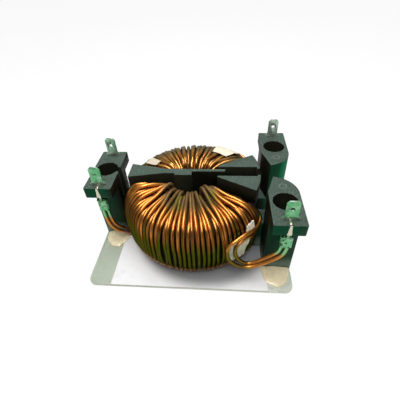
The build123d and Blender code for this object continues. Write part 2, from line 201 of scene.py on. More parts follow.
class Effect:
    """Shader node groups that more than one finish uses, each built once."""

    marking: ClassVar[dict[str, str]] = {
        "Base": "Color", "Mark": "Color", "Place": "Vector", "Scale": "Float", "Amount": "Float",
    }

    @staticmethod
    def start(name: str, inputs: dict[str, str], outputs: dict[str, str]) -> tuple[Canvas, Any, Any]:
        """Begin a group with named sockets.

        Args:
            name: Name of the group.
            inputs: Socket kinds by input name.
            outputs: Socket kinds by output name.

        Returns:
            The group's canvas, its inputs by name and the sockets that take its outputs.
        """
        tree = bpy.data.node_groups.new(name, "ShaderNodeTree")
        for way, sockets in (("INPUT", inputs), ("OUTPUT", outputs)):
            for label, kind in sockets.items():
                tree.interface.new_socket(label, in_out=way, socket_type="NodeSocket" + kind)
        return Canvas(tree), tree.nodes.new("NodeGroupInput").outputs, tree.nodes.new("NodeGroupOutput").inputs

    @staticmethod
    @cache
    def speckle() -> bpy.types.NodeTree:
        """Group of fine flecks and grain over a base colour.

        Returns:
            The group.
        """
        outputs = {"Color": "Color", "Height": "Float"}
        canvas, given, result = Effect.start("speckle", Effect.marking, outputs)
        fine = canvas.noise(given["Place"], given["Scale"], 2.0, 0.7)
        spacing = {"Vector": given["Place"], "Scale": canvas.times(given["Scale"], 0.6)}
        cells = canvas.node("TexVoronoi", spacing, feature="F1")
        spot = canvas.step(cells.outputs["Distance"], 0.1, 0.3, 1.0, 0.0)
        pick = canvas.step(canvas.split(cells.outputs["Color"])[0], 0.6, 0.75)
        flecks = canvas.math("MULTIPLY", canvas.times(spot, pick), given["Amount"], clamp=True)
        grain = canvas.times(canvas.step(fine, 0.35, 0.7), given["Amount"])
        share = canvas.math("MULTIPLY_ADD", grain, 0.45, flecks, clamp=True)
        canvas.feed(canvas.mix(share, given["Base"], given["Mark"]), result["Color"])
        canvas.feed(fine, result["Height"])
        return canvas.tree

    @staticmethod
    @cache
    def smudge() -> bpy.types.NodeTree:
        """Group of broad uneven marks over a base colour.

        Returns:
            The group.
        """
        canvas, given, result = Effect.start("smudge", Effect.marking, {"Color": "Color"})
        patch = canvas.step(canvas.noise(given["Place"], given["Scale"], 5.0, 0.62), 0.46, 0.72)
        mask = canvas.math("MULTIPLY", patch, given["Amount"], clamp=True)
        canvas.feed(canvas.mix(mask, given["Base"], given["Mark"]), result["Color"])
        return canvas.tree

    @staticmethod
    @cache
    def facing() -> bpy.types.NodeTree:
        """Group that tells which way a surface looks and where it is on the part.

        Returns:
            The group. Up is 1 on level tops, Outward is 1 on sides that look away from the ring's
            axis, and Radius is the distance from that axis.
        """
        canvas, given, result = Effect.start(
            "facing",
            {"Place": "Vector", "Normal": "Vector"},
            {"Up": "Float", "Outward": "Float", "Radius": "Float"},
        )
        level = {0: given["Place"], 1: (1.0, 1.0, 0.0)}
        flat = canvas.node("VectorMath", level, operation="MULTIPLY").outputs[0]
        length = canvas.node("VectorMath", {0: flat}, operation="LENGTH").outputs["Value"]
        away = canvas.node("VectorMath", {0: flat}, operation="NORMALIZE").outputs[0]
        ways = {0: away, 1: given["Normal"]}
        outward = canvas.node("VectorMath", ways, operation="DOT_PRODUCT").outputs["Value"]
        canvas.feed(canvas.step(canvas.split(given["Normal"])[2], 0.55, 0.9), result["Up"])
        canvas.feed(canvas.step(outward, -0.1, 0.45), result["Outward"])
        canvas.feed(length, result["Radius"])
        return canvas.tree


class Palette(Canvas):
    """Canvas of a material, with its shader and the places and normals that finishes start from."""

    def __init__(self, tree: bpy.types.NodeTree) -> None:
        """Take up a new material.

        Args:
            tree: The material's node tree, with its first nodes.
        """
        super().__init__(tree)
        self.shader = next(n for n in self.tree.nodes if n.type == "BSDF_PRINCIPLED")
        coords = self.node("TexCoord")
        self.place, self.normal = coords.outputs["Object"], coords.outputs["Normal"]
        self.x, self.y, self.z = self.split(self.place)

    def cells(self, scale: float, detail: float = 3.0) -> Socket:
        """Soft noise over the surface, with a scale in cells a metre."""
        return self.noise(self.place, scale, detail)

    def gloss(self, grain: Any, low: float, high: float) -> Socket:
        """Roughness that follows a grain between two values."""
        return self.step(grain, 0.3, 0.7, low, high)

    def layered(self, base: Any, *layers: tuple[Any, Any]) -> Socket:
        """Colour with other colours laid over it one by one, each through its mask."""
        return reduce(lambda under, layer: self.mix(layer[0], under, layer[1]), layers, base)

    def facing(self, place: Any = None) -> Any:
        """Outputs of the facing effect by name, at the surface or at another place."""
        values = {"Place": self.place if place is None else place, "Normal": self.normal}
        return self.node("Group", values, node_tree=Effect.facing()).outputs

    def marked(self, effect: bpy.types.NodeTree, base: Any, mark: Any, scale: float, amount: float) -> Any:
        """Outputs by name of an effect that marks a colour, with a scale in marks a metre and a strength."""
        values = {"Base": base, "Mark": mark, "Place": self.place, "Scale": scale, "Amount": amount}
        return self.node("Group", values, node_tree=effect).outputs

    def smudged(self, *marks: Any) -> Socket:
        """Colour with broad uneven marks, from what the marking takes."""
        return self.marked(Effect.smudge(), *marks)["Color"]

    def speckled(self, *marks: Any) -> tuple[Socket, Socket]:
        """Colour with fine flecks and the height of their grain, from what the marking takes."""
        outputs = self.marked(Effect.speckle(), *marks)
        return outputs["Color"], outputs["Height"]

    def apply(self, **values: Any) -> None:
        """Set or join the shader's inputs, named with underscores for spaces."""
        for label, value in values.items():
            self.feed(value, self.shader.inputs[label.replace("_", " ")])


class Finish:
    """Common start of every finish: a material that is made once."""

    name: str = "finish"
    made: ClassVar[dict[str, bpy.types.Material]] = {}

    def material(self) -> bpy.types.Material:
        """The finished material.

        Returns:
            The material, painted on first use.
        """
        if self.name not in self.made:
            self.paint()
        return self.made[self.name]

    def begin(self) -> Palette:
        """Make the material.

        Returns:
            Its canvas.
        """
        new = bpy.data.materials.new(self.name + "_finish")
        new.use_nodes = True
        self.made[self.name] = new
        return Palette(new.node_tree)

    def paint(self) -> None:
        """Build the material's nodes."""
        raise NotImplementedError


@dataclass(frozen=True)
class BlackMoulding(Finish):
    """Black moulded plastic: grey tops of dust and painted sheen, sides painted deep green as a glossy
    reflection, brown towards the ring.
    """

    name: str = "black_moulding"
    # Grey of the tops: partly dust, partly a painted sheen of the light above on the black plastic.
    top: Colour = (0.038, 0.06, 0.047)
    dust: Colour = (0.17, 0.205, 0.168)
    worn: Colour = (0.045, 0.062, 0.05)
    mark: Colour = (0.17, 0.21, 0.175)
    # Painted reflection of the green surroundings on the outward sides and fronts; the second colour is its
    # lighter part on faces turned towards +X.
    side: Colour = (0.001, 0.04, 0.016)
    flank_reflection: Colour = (0.001, 0.13, 0.054)
    inner: Colour = (0.0095, 0.0085, 0.005)
    shade: Colour = (0.002, 0.012, 0.006)
    # Painted reflection of the pale plate and adhesive, light across the feet of the outward walls.
    foot_reflection: Colour = (0.17, 0.22, 0.18)
    haze: Colour = (0.012, 0.022, 0.013)
    wells: tuple[Pair, Pair] = ((-50.6, 0.0), (50.5, 25.9))
    well_wall: Zone = (6.55, 6.85)
    mark_place: Pair = (50.7, 13.9)
    mark_radius: float = 2.0
    mark_line: Zone = (0.1, 0.3)
    outer_side: Zone = (41.0, 44.5)
    post_fronts: Zone = (43.5, 47.5)
    shade_below: Zone = (12.0, 42.0)
    foot_reflection_below: Zone = (3.0, 13.5)

    def paint(self) -> None:
        """Build the material's nodes."""
        canvas = self.begin()
        facing = canvas.facing()
        up = facing["Up"]
        # Up-facing tops: dust flecks over a grey that also carries painted sheen.
        dust_and_sheen, grain = canvas.speckled(self.top, self.dust, 1300.0, 0.75)
        tops = canvas.smudged(dust_and_sheen, self.worn, 70.0, 0.6)
        off = canvas.math("SUBTRACT", self.distance(canvas, self.mark_place), self.mark_radius * MM)
        line = canvas.fall(canvas.math("ABSOLUTE", off), self.mark_line, 0.55)
        tops = canvas.mix(line, tops, self.mark)
        near = canvas.math("MINIMUM", *(self.distance(canvas, well) for well in self.wells))
        outer = canvas.times(canvas.rise(facing["Radius"], self.outer_side), canvas.rise(near, self.well_wall))
        # Outward sides and fronts take the painted green reflection, faces towards the ring keep the
        # near-black inner colour.
        turned, faced, _ = canvas.split(canvas.normal)
        skin = canvas.mix(canvas.step(turned, 0.3, 0.8), self.side, self.flank_reflection)
        beyond = canvas.rise(canvas.math("ABSOLUTE", canvas.x), self.post_fronts)
        fronts = canvas.times(canvas.step(canvas.math("ABSOLUTE", faced), 0.6, 0.9), beyond)
        shown = canvas.math("MAXIMUM", facing["Outward"], fronts)
        sides = canvas.layered(
            self.inner,
            (canvas.times(shown, outer), skin),
            (canvas.fall(canvas.z, self.shade_below, 0.3), self.shade),
            # Painted reflection of the plate on the feet of the outward walls.
            (canvas.times(canvas.fall(canvas.z, self.foot_reflection_below, 0.9), outer), self.foot_reflection),
        )
        sides = canvas.smudged(sides, self.haze, 120.0, 0.35)
        spread = canvas.step(canvas.cells(260.0), 0.3, 0.75, 0.42, 0.56)
        canvas.apply(
            Base_Color=canvas.mix(up, sides, tops),
            Roughness=canvas.math("MULTIPLY_ADD", up, 0.2, spread),
            Specular_IOR_Level=0.05,
            Normal=canvas.bump(canvas.times(grain, up), 0.35, 0.2),
        )

    def distance(self, canvas: Palette, spot: Pair) -> Socket:
        """Distance from an upright axis, or from its twin across the part.

        Args:
            canvas: Canvas of the material.
            spot: X and Y of the axis in millimetres.

        Returns:
            Socket of the distance in metres.
        """
        across = canvas.math("SUBTRACT", canvas.x, spot[0] * MM)
        along = canvas.math("SUBTRACT", canvas.math("ABSOLUTE", canvas.y), spot[1] * MM)
        squares = (canvas.math("POWER", way, 2.0) for way in (across, along))
        return canvas.math("SQRT", canvas.math("ADD", *squares))


@dataclass(frozen=True)
class EnamelledCopper(Finish):
    """Enamelled copper wire: orange, brown in the hole, painted highlight, shade and green reflections, tinned
    at its ends.
    """

    name: str = "enamelled_copper"
    bright: Colour = (0.62, 0.25, 0.05)
    # Painted highlight: a yellow-orange sheen laid over the whole rear winding.
    rear_highlight: Colour = (0.66, 0.34, 0.1)
    # Brown: a random tone on some wires, and painted shade below the shoulder highlight on the outer side.
    brown: Colour = (0.17, 0.058, 0.011)
    # Painted shade over the outer side of the left end.
    dark: Colour = (0.05, 0.024, 0.004)
    # Painted reflection of the green surroundings, low on the outer side.
    low_green_reflection: Colour = (0.042, 0.064, 0.0005)
    # Painted green reflection on some wires by the hole and on the rear crest, and low on the left of the
    # loops.
    dull_green_reflection: Colour = (0.078, 0.078, 0.01)
    hole: Colour = (0.07, 0.047, 0.021)
    # Painted dark green reflection on the top shoulder of the rear winding.
    tip: Colour = (0.012, 0.045, 0.016)
    # Painted reflection of the pale sheet on the wires where they curve under the ring.
    bend_reflection: Colour = (0.62, 0.36, 0.27)
    dust: Colour = (0.2, 0.13, 0.07)
    # Painted green reflection of the surroundings on the tinned ends, as on the blades.
    tin: Colour = (0.2, 0.46, 0.22)
    rim: Colour = (0.55, 0.38, 0.12)
    lays: float = 17.0
    uneven: Pair = (24.0, 12.0)
    side_from: Zone = (36.0, 40.0)
    side_to: Zone = (46.2, 47.2)
    brown_shade_below: Zone = (34.5, 40.2)
    low_green_reflection_below: Zone = (24.0, 36.0)
    left_shade_zone: Zone = (-34.0, -23.0)
    half: Zone = (-6.0, 4.0)
    crest_above: Zone = (34.0, 38.0)
    crest_from: Zone = (24.0, 32.0)
    shoulder_from: Zone = (33.0, 37.0)
    shoulder_to: Zone = (38.5, 41.0)
    mouth: Zone = (24.5, 32.5)
    mouth_left: Zone = (-20.0, -11.0)
    mouth_right: Zone = (12.0, 20.0)
    loop_below: Zone = (26.0, 31.0)
    loop_from: Zone = (45.5, 47.5)
    loop_left: Zone = (0.0, 10.0)
    loop_right: Zone = (29.0, 37.0)
    bend_reflection_below: Zone = (9.5, 12.5)
    stub_from: Zone = (50.2, 51.2)
    stub_above: Zone = (22.8, 26.2)

    def paint(self) -> None:
        """Build the material's nodes."""
        canvas = self.begin()
        height, radius, x, y = canvas.z, canvas.facing()["Radius"], canvas.x, canvas.y
        lay = {"W": canvas.times(canvas.math("ARCTAN2", y, x), self.lays), "Scale": 1.0, "Detail": 0.0}
        each = canvas.node("TexNoise", lay, noise_dimensions="1D").outputs["Fac"]
        vary = canvas.cells(150.0, 2.0)
        level = height
        for cells, shift in zip((each, vary), self.uneven):
            level = canvas.math("MULTIPLY_ADD", canvas.math("SUBTRACT", cells, 0.5), shift * MM, level)
        outside = canvas.band(radius, self.side_from, self.side_to)
        front = canvas.fall(y, self.half)
        rear = canvas.inverse(front)
        crest = canvas.times(canvas.rise(height, self.crest_above), rear)
        back = canvas.times(canvas.rise(radius, self.crest_from, 0.85), crest)
        shoulder = canvas.band(radius, self.shoulder_from, self.shoulder_to, 0.65)
        centre = canvas.band(x, self.mouth_left, self.mouth_right)
        inside = canvas.times(canvas.fall(radius, self.mouth, 0.92), front, centre)
        loop = canvas.times(canvas.fall(height, self.loop_below, 0.85), canvas.rise(radius, self.loop_from))
        # Dusty matt brown by the hole and on the rear crest, with some wires in the painted green reflection.
        dull = canvas.mix(canvas.step(vary, 0.54, 0.62), self.hole, self.dull_green_reflection)
        layers = (
            # Painted highlight over the rear winding.
            (canvas.times(rear, 0.8), self.rear_highlight),
            (canvas.step(vary, 0.35, 0.7, 0.0, 0.45), self.brown),
            # Painted shade: brown below the shoulder highlight on the outer side.
            (canvas.times(canvas.fall(level, self.brown_shade_below, 0.92), outside), self.brown),
            # Painted shade on the outer side of the left end.
            (canvas.times(canvas.fall(x, self.left_shade_zone, 0.9), outside), self.dark),
            # Painted green reflection low on the outer side.
            (canvas.times(canvas.fall(level, self.low_green_reflection_below, 0.98), outside), self.low_green_reflection),
            (back, dull),
            # Painted dark green reflection on the rear winding's top shoulder.
            (canvas.times(shoulder, crest), self.tip),
            (inside, dull),
            # Painted green reflection low on the left of the loops.
            (canvas.times(loop, canvas.band(x, self.loop_left, self.loop_right)), self.dull_green_reflection),
            # Painted reflection of the sheet low on the wires under the ring.
            (canvas.fall(height, self.bend_reflection_below, 0.9), self.bend_reflection),
        )
        body = canvas.smudged(canvas.layered(self.bright, *layers), self.dust, 210.0, 0.2)
        stub = canvas.times(canvas.rise(radius, self.stub_from), canvas.rise(height, self.stub_above))
        matt = canvas.times(canvas.math("MAXIMUM", inside, back), 0.75)
        canvas.apply(
            # Tinned ends take the painted green reflection.
            Base_Color=canvas.mix(stub, body, self.tin),
            Metallic=canvas.math("SUBTRACT", 0.96, matt),
            Roughness=canvas.gloss(canvas.cells(260.0), 0.28, 0.38),
            Specular_Tint=self.rim,
            Coat_Weight=0.03,
            Coat_Roughness=0.2,
        )


@dataclass(frozen=True)
class TinnedMetal(Finish):
    """Tinned terminals: blades painted green and tops grey as reflections, grey at the moulding, cream in the
    slot, dark gaps in the crimp.
    """

    name: str = "tinned_terminal"
    # Painted green reflection of the surroundings on the tinned blades.
    blade: Colour = (0.13, 0.46, 0.2)
    pale: Colour = (0.56, 0.64, 0.56)
    stain: Colour = (0.1, 0.2, 0.11)
    foot: Colour = (0.6, 0.54, 0.5)
    filler: Colour = (0.64, 0.59, 0.47)
    gap: Colour = (0.05, 0.035, 0.018)
    # Painted reflection of the light above on the up-facing tops.
    level: Colour = (0.3, 0.4, 0.32)
    rear_half: Zone = (0.0, 12.0)
    sides: Zone = (-10.0, 10.0)
    head_top: Zone = (47.8, 48.3)
    foot_below: Zone = (48.3, 51.2)
    slot_above: Zone = (40.0, 41.2)
    slot_from: Zone = (0.8, 1.2)
    crimp_below: Zone = (38.4, 39.0)

    def paint(self) -> None:
        """Build the material's nodes."""
        canvas = self.begin()
        x, y, z = canvas.x, canvas.y, canvas.z
        paler = canvas.step(x, self.sides[0] * MM, self.sides[1] * MM, 0.45, 0.85)
        # Blades: tinned metal painted green as a reflection, paler on the rear ones.
        metal = canvas.mix(canvas.times(canvas.rise(y, self.rear_half), paler), self.blade, self.pale)
        metal = canvas.smudged(metal, self.pale, 330.0, 0.6)
        metal, grain = canvas.speckled(metal, self.stain, 1400.0, 0.35)
        above = canvas.rise(z, self.head_top)
        metal = canvas.mix(canvas.times(canvas.fall(z, self.foot_below, 0.8), above), metal, self.foot)
        blade = canvas.step(x, -MM, MM, *(BLADES[end][1] * MM for end in End))
        ahead = canvas.math("SUBTRACT", canvas.math("ABSOLUTE", y), blade)
        filled = canvas.math("MAXIMUM", canvas.inverse(above), canvas.rise(ahead, self.slot_from))
        slot = canvas.times(canvas.rise(z, self.slot_above), filled)
        metal = canvas.mix(canvas.times(slot, 0.9), metal, self.filler)
        blots = canvas.step(canvas.cells(620.0, 2.0), 0.54, 0.6)
        metal = canvas.mix(canvas.times(blots, canvas.fall(z, self.crimp_below, 0.9)), metal, self.gap)
        # Up-facing faces outside the slot take the painted reflection of the light above.
        tops = canvas.times(canvas.facing()["Up"], canvas.inverse(slot))
        canvas.apply(
            Base_Color=canvas.mix(tops, metal, self.level),
            Metallic=0.8,
            Roughness=canvas.gloss(canvas.cells(500.0), 0.3, 0.5),
            Normal=canvas.bump(grain, 0.2, 0.1),
        )


@dataclass(frozen=True)
class PlateMetal(Finish):
    """Pale grey-green coated plate with dark specks, and painted light that makes it lighter towards its right
    end.
    """

    name: str = "plate_metal"
    coat: Colour = (0.39, 0.44, 0.36)
    # Painted light: the plate grows lighter towards its right end.
    clean: Colour = (0.54, 0.565, 0.49)
    shade: Colour = (0.34, 0.4, 0.32)
    speck: Colour = (0.22, 0.2, 0.14)
    right_light_zone: Zone = (-30.0, 50.0)

    def paint(self) -> None:
        """Build the material's nodes."""
        canvas = self.begin()
        # Painted light: lighter towards the right end.
        tone = canvas.mix(canvas.rise(canvas.x, self.right_light_zone), self.coat, self.clean)
        worn = canvas.smudged(tone, self.shade, 95.0, 0.6)
        colour, grain = canvas.speckled(worn, self.speck, 520.0, 0.28)
        canvas.apply(
            Base_Color=colour,
            Metallic=0.15,
            Roughness=canvas.gloss(grain, 0.42, 0.6),
            Normal=canvas.bump(grain, 0.15, 0.2),
        )


@dataclass(frozen=True)
class WhiteSheet(Finish):
    """White insulating sheet with fibres, grey smudges, a painted shadow round the ring's foot and a brown cut
    edge.
    """

    name: str = "white_sheet"
    white: Colour = (0.68, 0.68, 0.685)
    fibre: Colour = (0.57, 0.57, 0.58)
    grey: Colour = (0.55, 0.545, 0.54)
    # Painted shadow of the ring: a dark halo round its foot, set off from its axis.
    ring_shadow: Colour = (0.165, 0.175, 0.18)
    fleck: Colour = (0.3, 0.27, 0.22)
    edge: Colour = (0.3, 0.2, 0.13)
    stretch: Point = (1.0, 6.0, 1.0)
    ring_shadow_shift: Point = (-8.5, 3.0, 0.0)
    ring_shadow_within: Zone = (39.5, 49.5)
    cut: Zone = (44.6, 44.9)

    def paint(self) -> None:
        """Build the material's nodes."""
        canvas = self.begin()
        stretched = canvas.node("Mapping", {"Vector": canvas.place, "Scale": self.stretch}).outputs[0]
        fibre = canvas.noise(stretched, 700.0, 4.0)
        base = canvas.mix(canvas.step(fibre, 0.4, 0.75, 0.0, 0.3), self.white, self.fibre)
        base = canvas.smudged(base, self.grey, 60.0, 0.4)
        # Painted shadow: darker towards the ring's foot.
        shift = {"Vector": canvas.place, "Location": Vector(self.ring_shadow_shift) * MM}
        radius = canvas.facing(canvas.node("Mapping", shift).outputs[0])["Radius"]
        base = canvas.mix(canvas.fall(radius, self.ring_shadow_within, 0.88), base, self.ring_shadow)
        base, _ = canvas.speckled(base, self.fleck, 260.0, 0.12)
        rim = canvas.rise(canvas.math("ABSOLUTE", canvas.x), self.cut)
        side = canvas.step(canvas.split(canvas.normal)[2], 0.3, 0.8, 0.75, 0.0)
        worn = canvas.math("MAXIMUM", side, canvas.times(rim, 0.45))
        canvas.apply(
            Base_Color=canvas.mix(worn, base, self.edge),
            Roughness=canvas.gloss(fibre, 0.6, 0.8),
            Specular_IOR_Level=0.3,
            Normal=canvas.bump(fibre, 0.25, 0.2),
        )


@dataclass(frozen=True)
class CreamAdhesive(Finish):
    """Set cream adhesive, glossy and a little translucent."""

    name: str = "cream_adhesive"
    cream: Colour = (0.72, 0.63, 0.42)
    deep: Colour = (0.54, 0.45, 0.26)
    glow_depth: Point = (2.0, 1.5, 0.8)

    def paint(self) -> None:
        """Build the material's nodes."""
        canvas = self.begin()
        canvas.apply(
            Base_Color=canvas.smudged(self.cream, self.deep, 190.0, 0.55),
            Roughness=canvas.gloss(canvas.cells(300.0), 0.18, 0.38),
            Subsurface_Weight=0.12,
            Subsurface_Radius=Vector(self.glow_depth) * MM,
            Coat_Weight=0.3,
            Coat_Roughness=0.1,
            Normal=canvas.bump(canvas.cells(380.0), 0.25, 0.5),
        )


@dataclass(frozen=True)
class WovenTape(Finish):
    """Off-white woven tape with a fine plain weave, painted shade on its crown, and painted shade with a green
    reflection low down.
    """

    name: str = "white_tape"
    yarn: Colour = (0.84, 0.79, 0.65)
    gap: Colour = (0.6, 0.54, 0.41)
    stain: Colour = (0.5, 0.42, 0.27)
    # Painted shade on the crown, deeper on the left, which tones down the tops that face the light.
    crown_shade: Colour = (0.26, 0.2, 0.12)
    # Painted shade with a green reflection on the lower part of the tape.
    low: Colour = (0.3, 0.36, 0.2)
    ring_radius: float = 42.0
    weave: float = 6000.0
    sides: Zone = (-10.0, 10.0)
    crown: Zone = (37.0, 41.0)
    shade_and_reflection_below: Zone = (16.0, 30.0)

    def paint(self) -> None:
        """Build the material's nodes."""
        canvas = self.begin()
        x, y, z = canvas.x, canvas.y, canvas.z
        turn = canvas.times(canvas.math("ARCTAN2", y, x), self.ring_radius * MM)
        threads = [canvas.math("SINE", canvas.times(way, self.weave)) for way in (turn, z)]
        weave = canvas.math("MULTIPLY_ADD", canvas.times(*threads), 0.5, 0.5)
        cloth = canvas.mix(canvas.times(weave, 0.6), self.yarn, self.gap)
        cloth = canvas.smudged(cloth, self.stain, 240.0, 0.4)
        # Painted shade on the crown, more of it on the left.
        shade_by_side = canvas.step(x, self.sides[0] * MM, self.sides[1] * MM, 0.8, 0.1)
        crown_shade = canvas.mix(shade_by_side, self.gap, self.crown_shade)
        cloth = canvas.mix(canvas.rise(z, self.crown, 0.65), cloth, crown_shade)
        canvas.apply(
            # Lower down: painted shade with a green reflection.
            Base_Color=canvas.mix(canvas.fall(z, self.shade_and_reflection_below, 0.75), cloth, self.low),
            Roughness=canvas.step(weave, 0.0, 1.0, 0.6, 0.85),
            Specular_IOR_Level=0.35,
            Sheen_Weight=0.1,
            Normal=canvas.bump(weave, 0.35, 0.2),
        )


@dataclass(frozen=True)
class CoatedCore(Finish):
    """Wrap of the core, seen only between the turns, painted near black as the shade there and brown higher up
    as shadowed copper.
    """

    name: str = "core_ferrite"
    # Painted shade: near black between the turns, brown higher up for shadowed copper beneath.
    coat: Colour = (0.006, 0.004, 0.002)
    upper: Colour = (0.045, 0.027, 0.012)
    fleck: Colour = (0.012, 0.009, 0.004)
    crown: Zone = (33.0, 37.0)

    def paint(self) -> None:
        """Build the material's nodes."""
        canvas = self.begin()
        # Painted shade between the turns, brown towards the top.
        base = canvas.mix(canvas.rise(canvas.z, self.crown), self.coat, self.upper)
        colour, grain = canvas.speckled(base, self.fleck, 900.0, 0.5)
        canvas.apply(
            Base_Color=colour,
            Roughness=canvas.gloss(grain, 0.5, 0.7),
            Specular_IOR_Level=0.02,
            Normal=canvas.bump(grain, 0.3, 0.2),
        )


class Piece:
    """Helpers that shape new meshes and place them on the part."""

    weld: ClassVar[float] = 0.02
    flat_angle: ClassVar[float] = 0.6
    edge_angle: ClassVar[float] = 32.0
    sharp_angle: ClassVar[float] = 40.0

    @staticmethod
    def add(name: str, mesh: bpy.types.Mesh, finish: Finish, slot: str, *nodes: str) -> bpy.types.Object:
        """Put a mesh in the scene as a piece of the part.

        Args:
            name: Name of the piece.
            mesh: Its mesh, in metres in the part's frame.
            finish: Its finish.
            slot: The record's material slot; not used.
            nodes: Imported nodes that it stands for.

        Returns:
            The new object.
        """
        mesh.materials.clear()
        mesh.materials.append(finish.material())
        piece = bpy.data.objects.new(name, mesh)
        bpy.context.scene.collection.objects.link(piece)
        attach(piece, ROOT)
        if nodes:
            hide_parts(*nodes)
        LOG.info("%s: %d polygons", name, len(mesh.polygons))
        return piece

    @staticmethod
    def evaluated(thing: bpy.types.Object) -> bpy.types.Mesh:
        """Work out a curve or a piece with modifiers.

        Args:
            thing: The curve or the piece.

        Returns:
            Its mesh.
        """
        bpy.context.view_layer.update()
        graph = bpy.context.evaluated_depsgraph_get()
        return bpy.data.meshes.new_from_object(thing.evaluated_get(graph))

    @staticmethod
    def applied(piece: bpy.types.Object) -> None:
        """Apply the modifiers of a piece to its mesh and smooth it.

        Args:
            piece: The piece.
        """
        mesh = Piece.evaluated(piece)
        piece.modifiers.clear()
        piece.data = mesh
        mesh.shade_smooth()

    @staticmethod
    def skinned(work: bmesh.types.BMesh, rows: list[list[bmesh.types.BMVert]], closed: bool = False) -> None:
        """Join rows of points by four-sided faces.

        Args:
            work: Shape that the points are in.
            rows: Rows of as many points each.
            closed: Whether each row is a ring.
        """
        for row, after in zip(rows, rows[1:]):
            count = len(row)
            for i in range(count if closed else count - 1):
                j = (i + 1) % count
                work.faces.new((row[i], row[j], after[j], after[i]))

    @staticmethod
    def meshed(name: str, work: bmesh.types.BMesh) -> bpy.types.Mesh:
        """Turn a shape into a mesh.

        Args:
            name: Name of the mesh.
            work: The shape, which is used up.

        Returns:
            The new mesh.
        """
        mesh = bpy.data.meshes.new(name)
        work.to_mesh(mesh)
        work.free()
        return mesh

    @staticmethod
    def softened(node: str, finish: Finish, slot: str, width: float, grown: float = 0.0) -> None:
        """Stand-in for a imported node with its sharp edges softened.

        Args:
            node: Name of the node.
            finish: Finish of the piece.
            slot: The record's material slot.
            width: Width of the softened edge in millimetres.
            grown: How far the skin stands out past the node, in millimetres.
        """
        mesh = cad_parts[node].data.copy()
        work = bmesh.new()
        work.from_mesh(mesh)
        bmesh.ops.remove_doubles(work, verts=work.verts, dist=Piece.weld * MM)
        flat = math.radians(Piece.flat_angle)
        bmesh.ops.dissolve_limit(work, angle_limit=flat, verts=work.verts, edges=work.edges)
        work.to_mesh(mesh)
        work.free()
        piece = Piece.add(f"{node}_dressed", mesh, finish, slot, node)
        bevel = piece.modifiers.new("edge", "BEVEL")
        bevel.width = width * MM
        bevel.segments = 2
        bevel.limit_method = "ANGLE"
        bevel.angle_limit = math.radians(Piece.edge_angle)
        bevel.use_clamp_overlap = True
        bevel.harden_normals = True
        if grown:
            skin = piece.modifiers.new("skin", "DISPLACE")
            skin.strength, skin.mid_level = grown * MM, 0.0
        Piece.applied(piece)
        piece.data.set_sharp_from_angle(angle=math.radians(Piece.sharp_angle))

    @staticmethod
    def dressed(node: str, finish: Finish) -> None:
        """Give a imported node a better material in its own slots.

        Args:
            node: Name of the node.
            finish: Its finish.
        """
        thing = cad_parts[node]
        for slot in thing.material_slots:
            slot.material = finish.material()
        LOG.info("%s: dressed", node)


@dataclass
class Base:
    """Mounting plate and the insulating sheet on it."""

    edge: float = 0.25

    def build(self) -> None:
        """Dress the plate and the sheet."""
        Piece.softened("base_plate", PlateMetal(), "plate_metal", self.edge)
        Piece.dressed("insulating_sheet", WhiteSheet())


@dataclass
class Mouldings:
    """Posts and dividers."""

    edge: float = 0.35
    posts: tuple[str, ...] = ("left_post", "front_right_post", "rear_right_post")
    dividers: tuple[str, ...] = ("left_divider", "right_divider")

    def build(self) -> None:
        """Dress the mouldings."""
        for node in self.posts + self.dividers:
            Piece.softened(node, BlackMoulding(), "black_moulding", self.edge)


@dataclass
class Core:
    """Ring inside the windings, with a wrap that fills the space under the wires."""

    edge: float = 0.8
    wrap: float = 0.8

    def build(self) -> None:
        """Dress the core."""
        Piece.softened("toroid_core", CoatedCore(), "core_ferrite", self.edge, self.wrap)


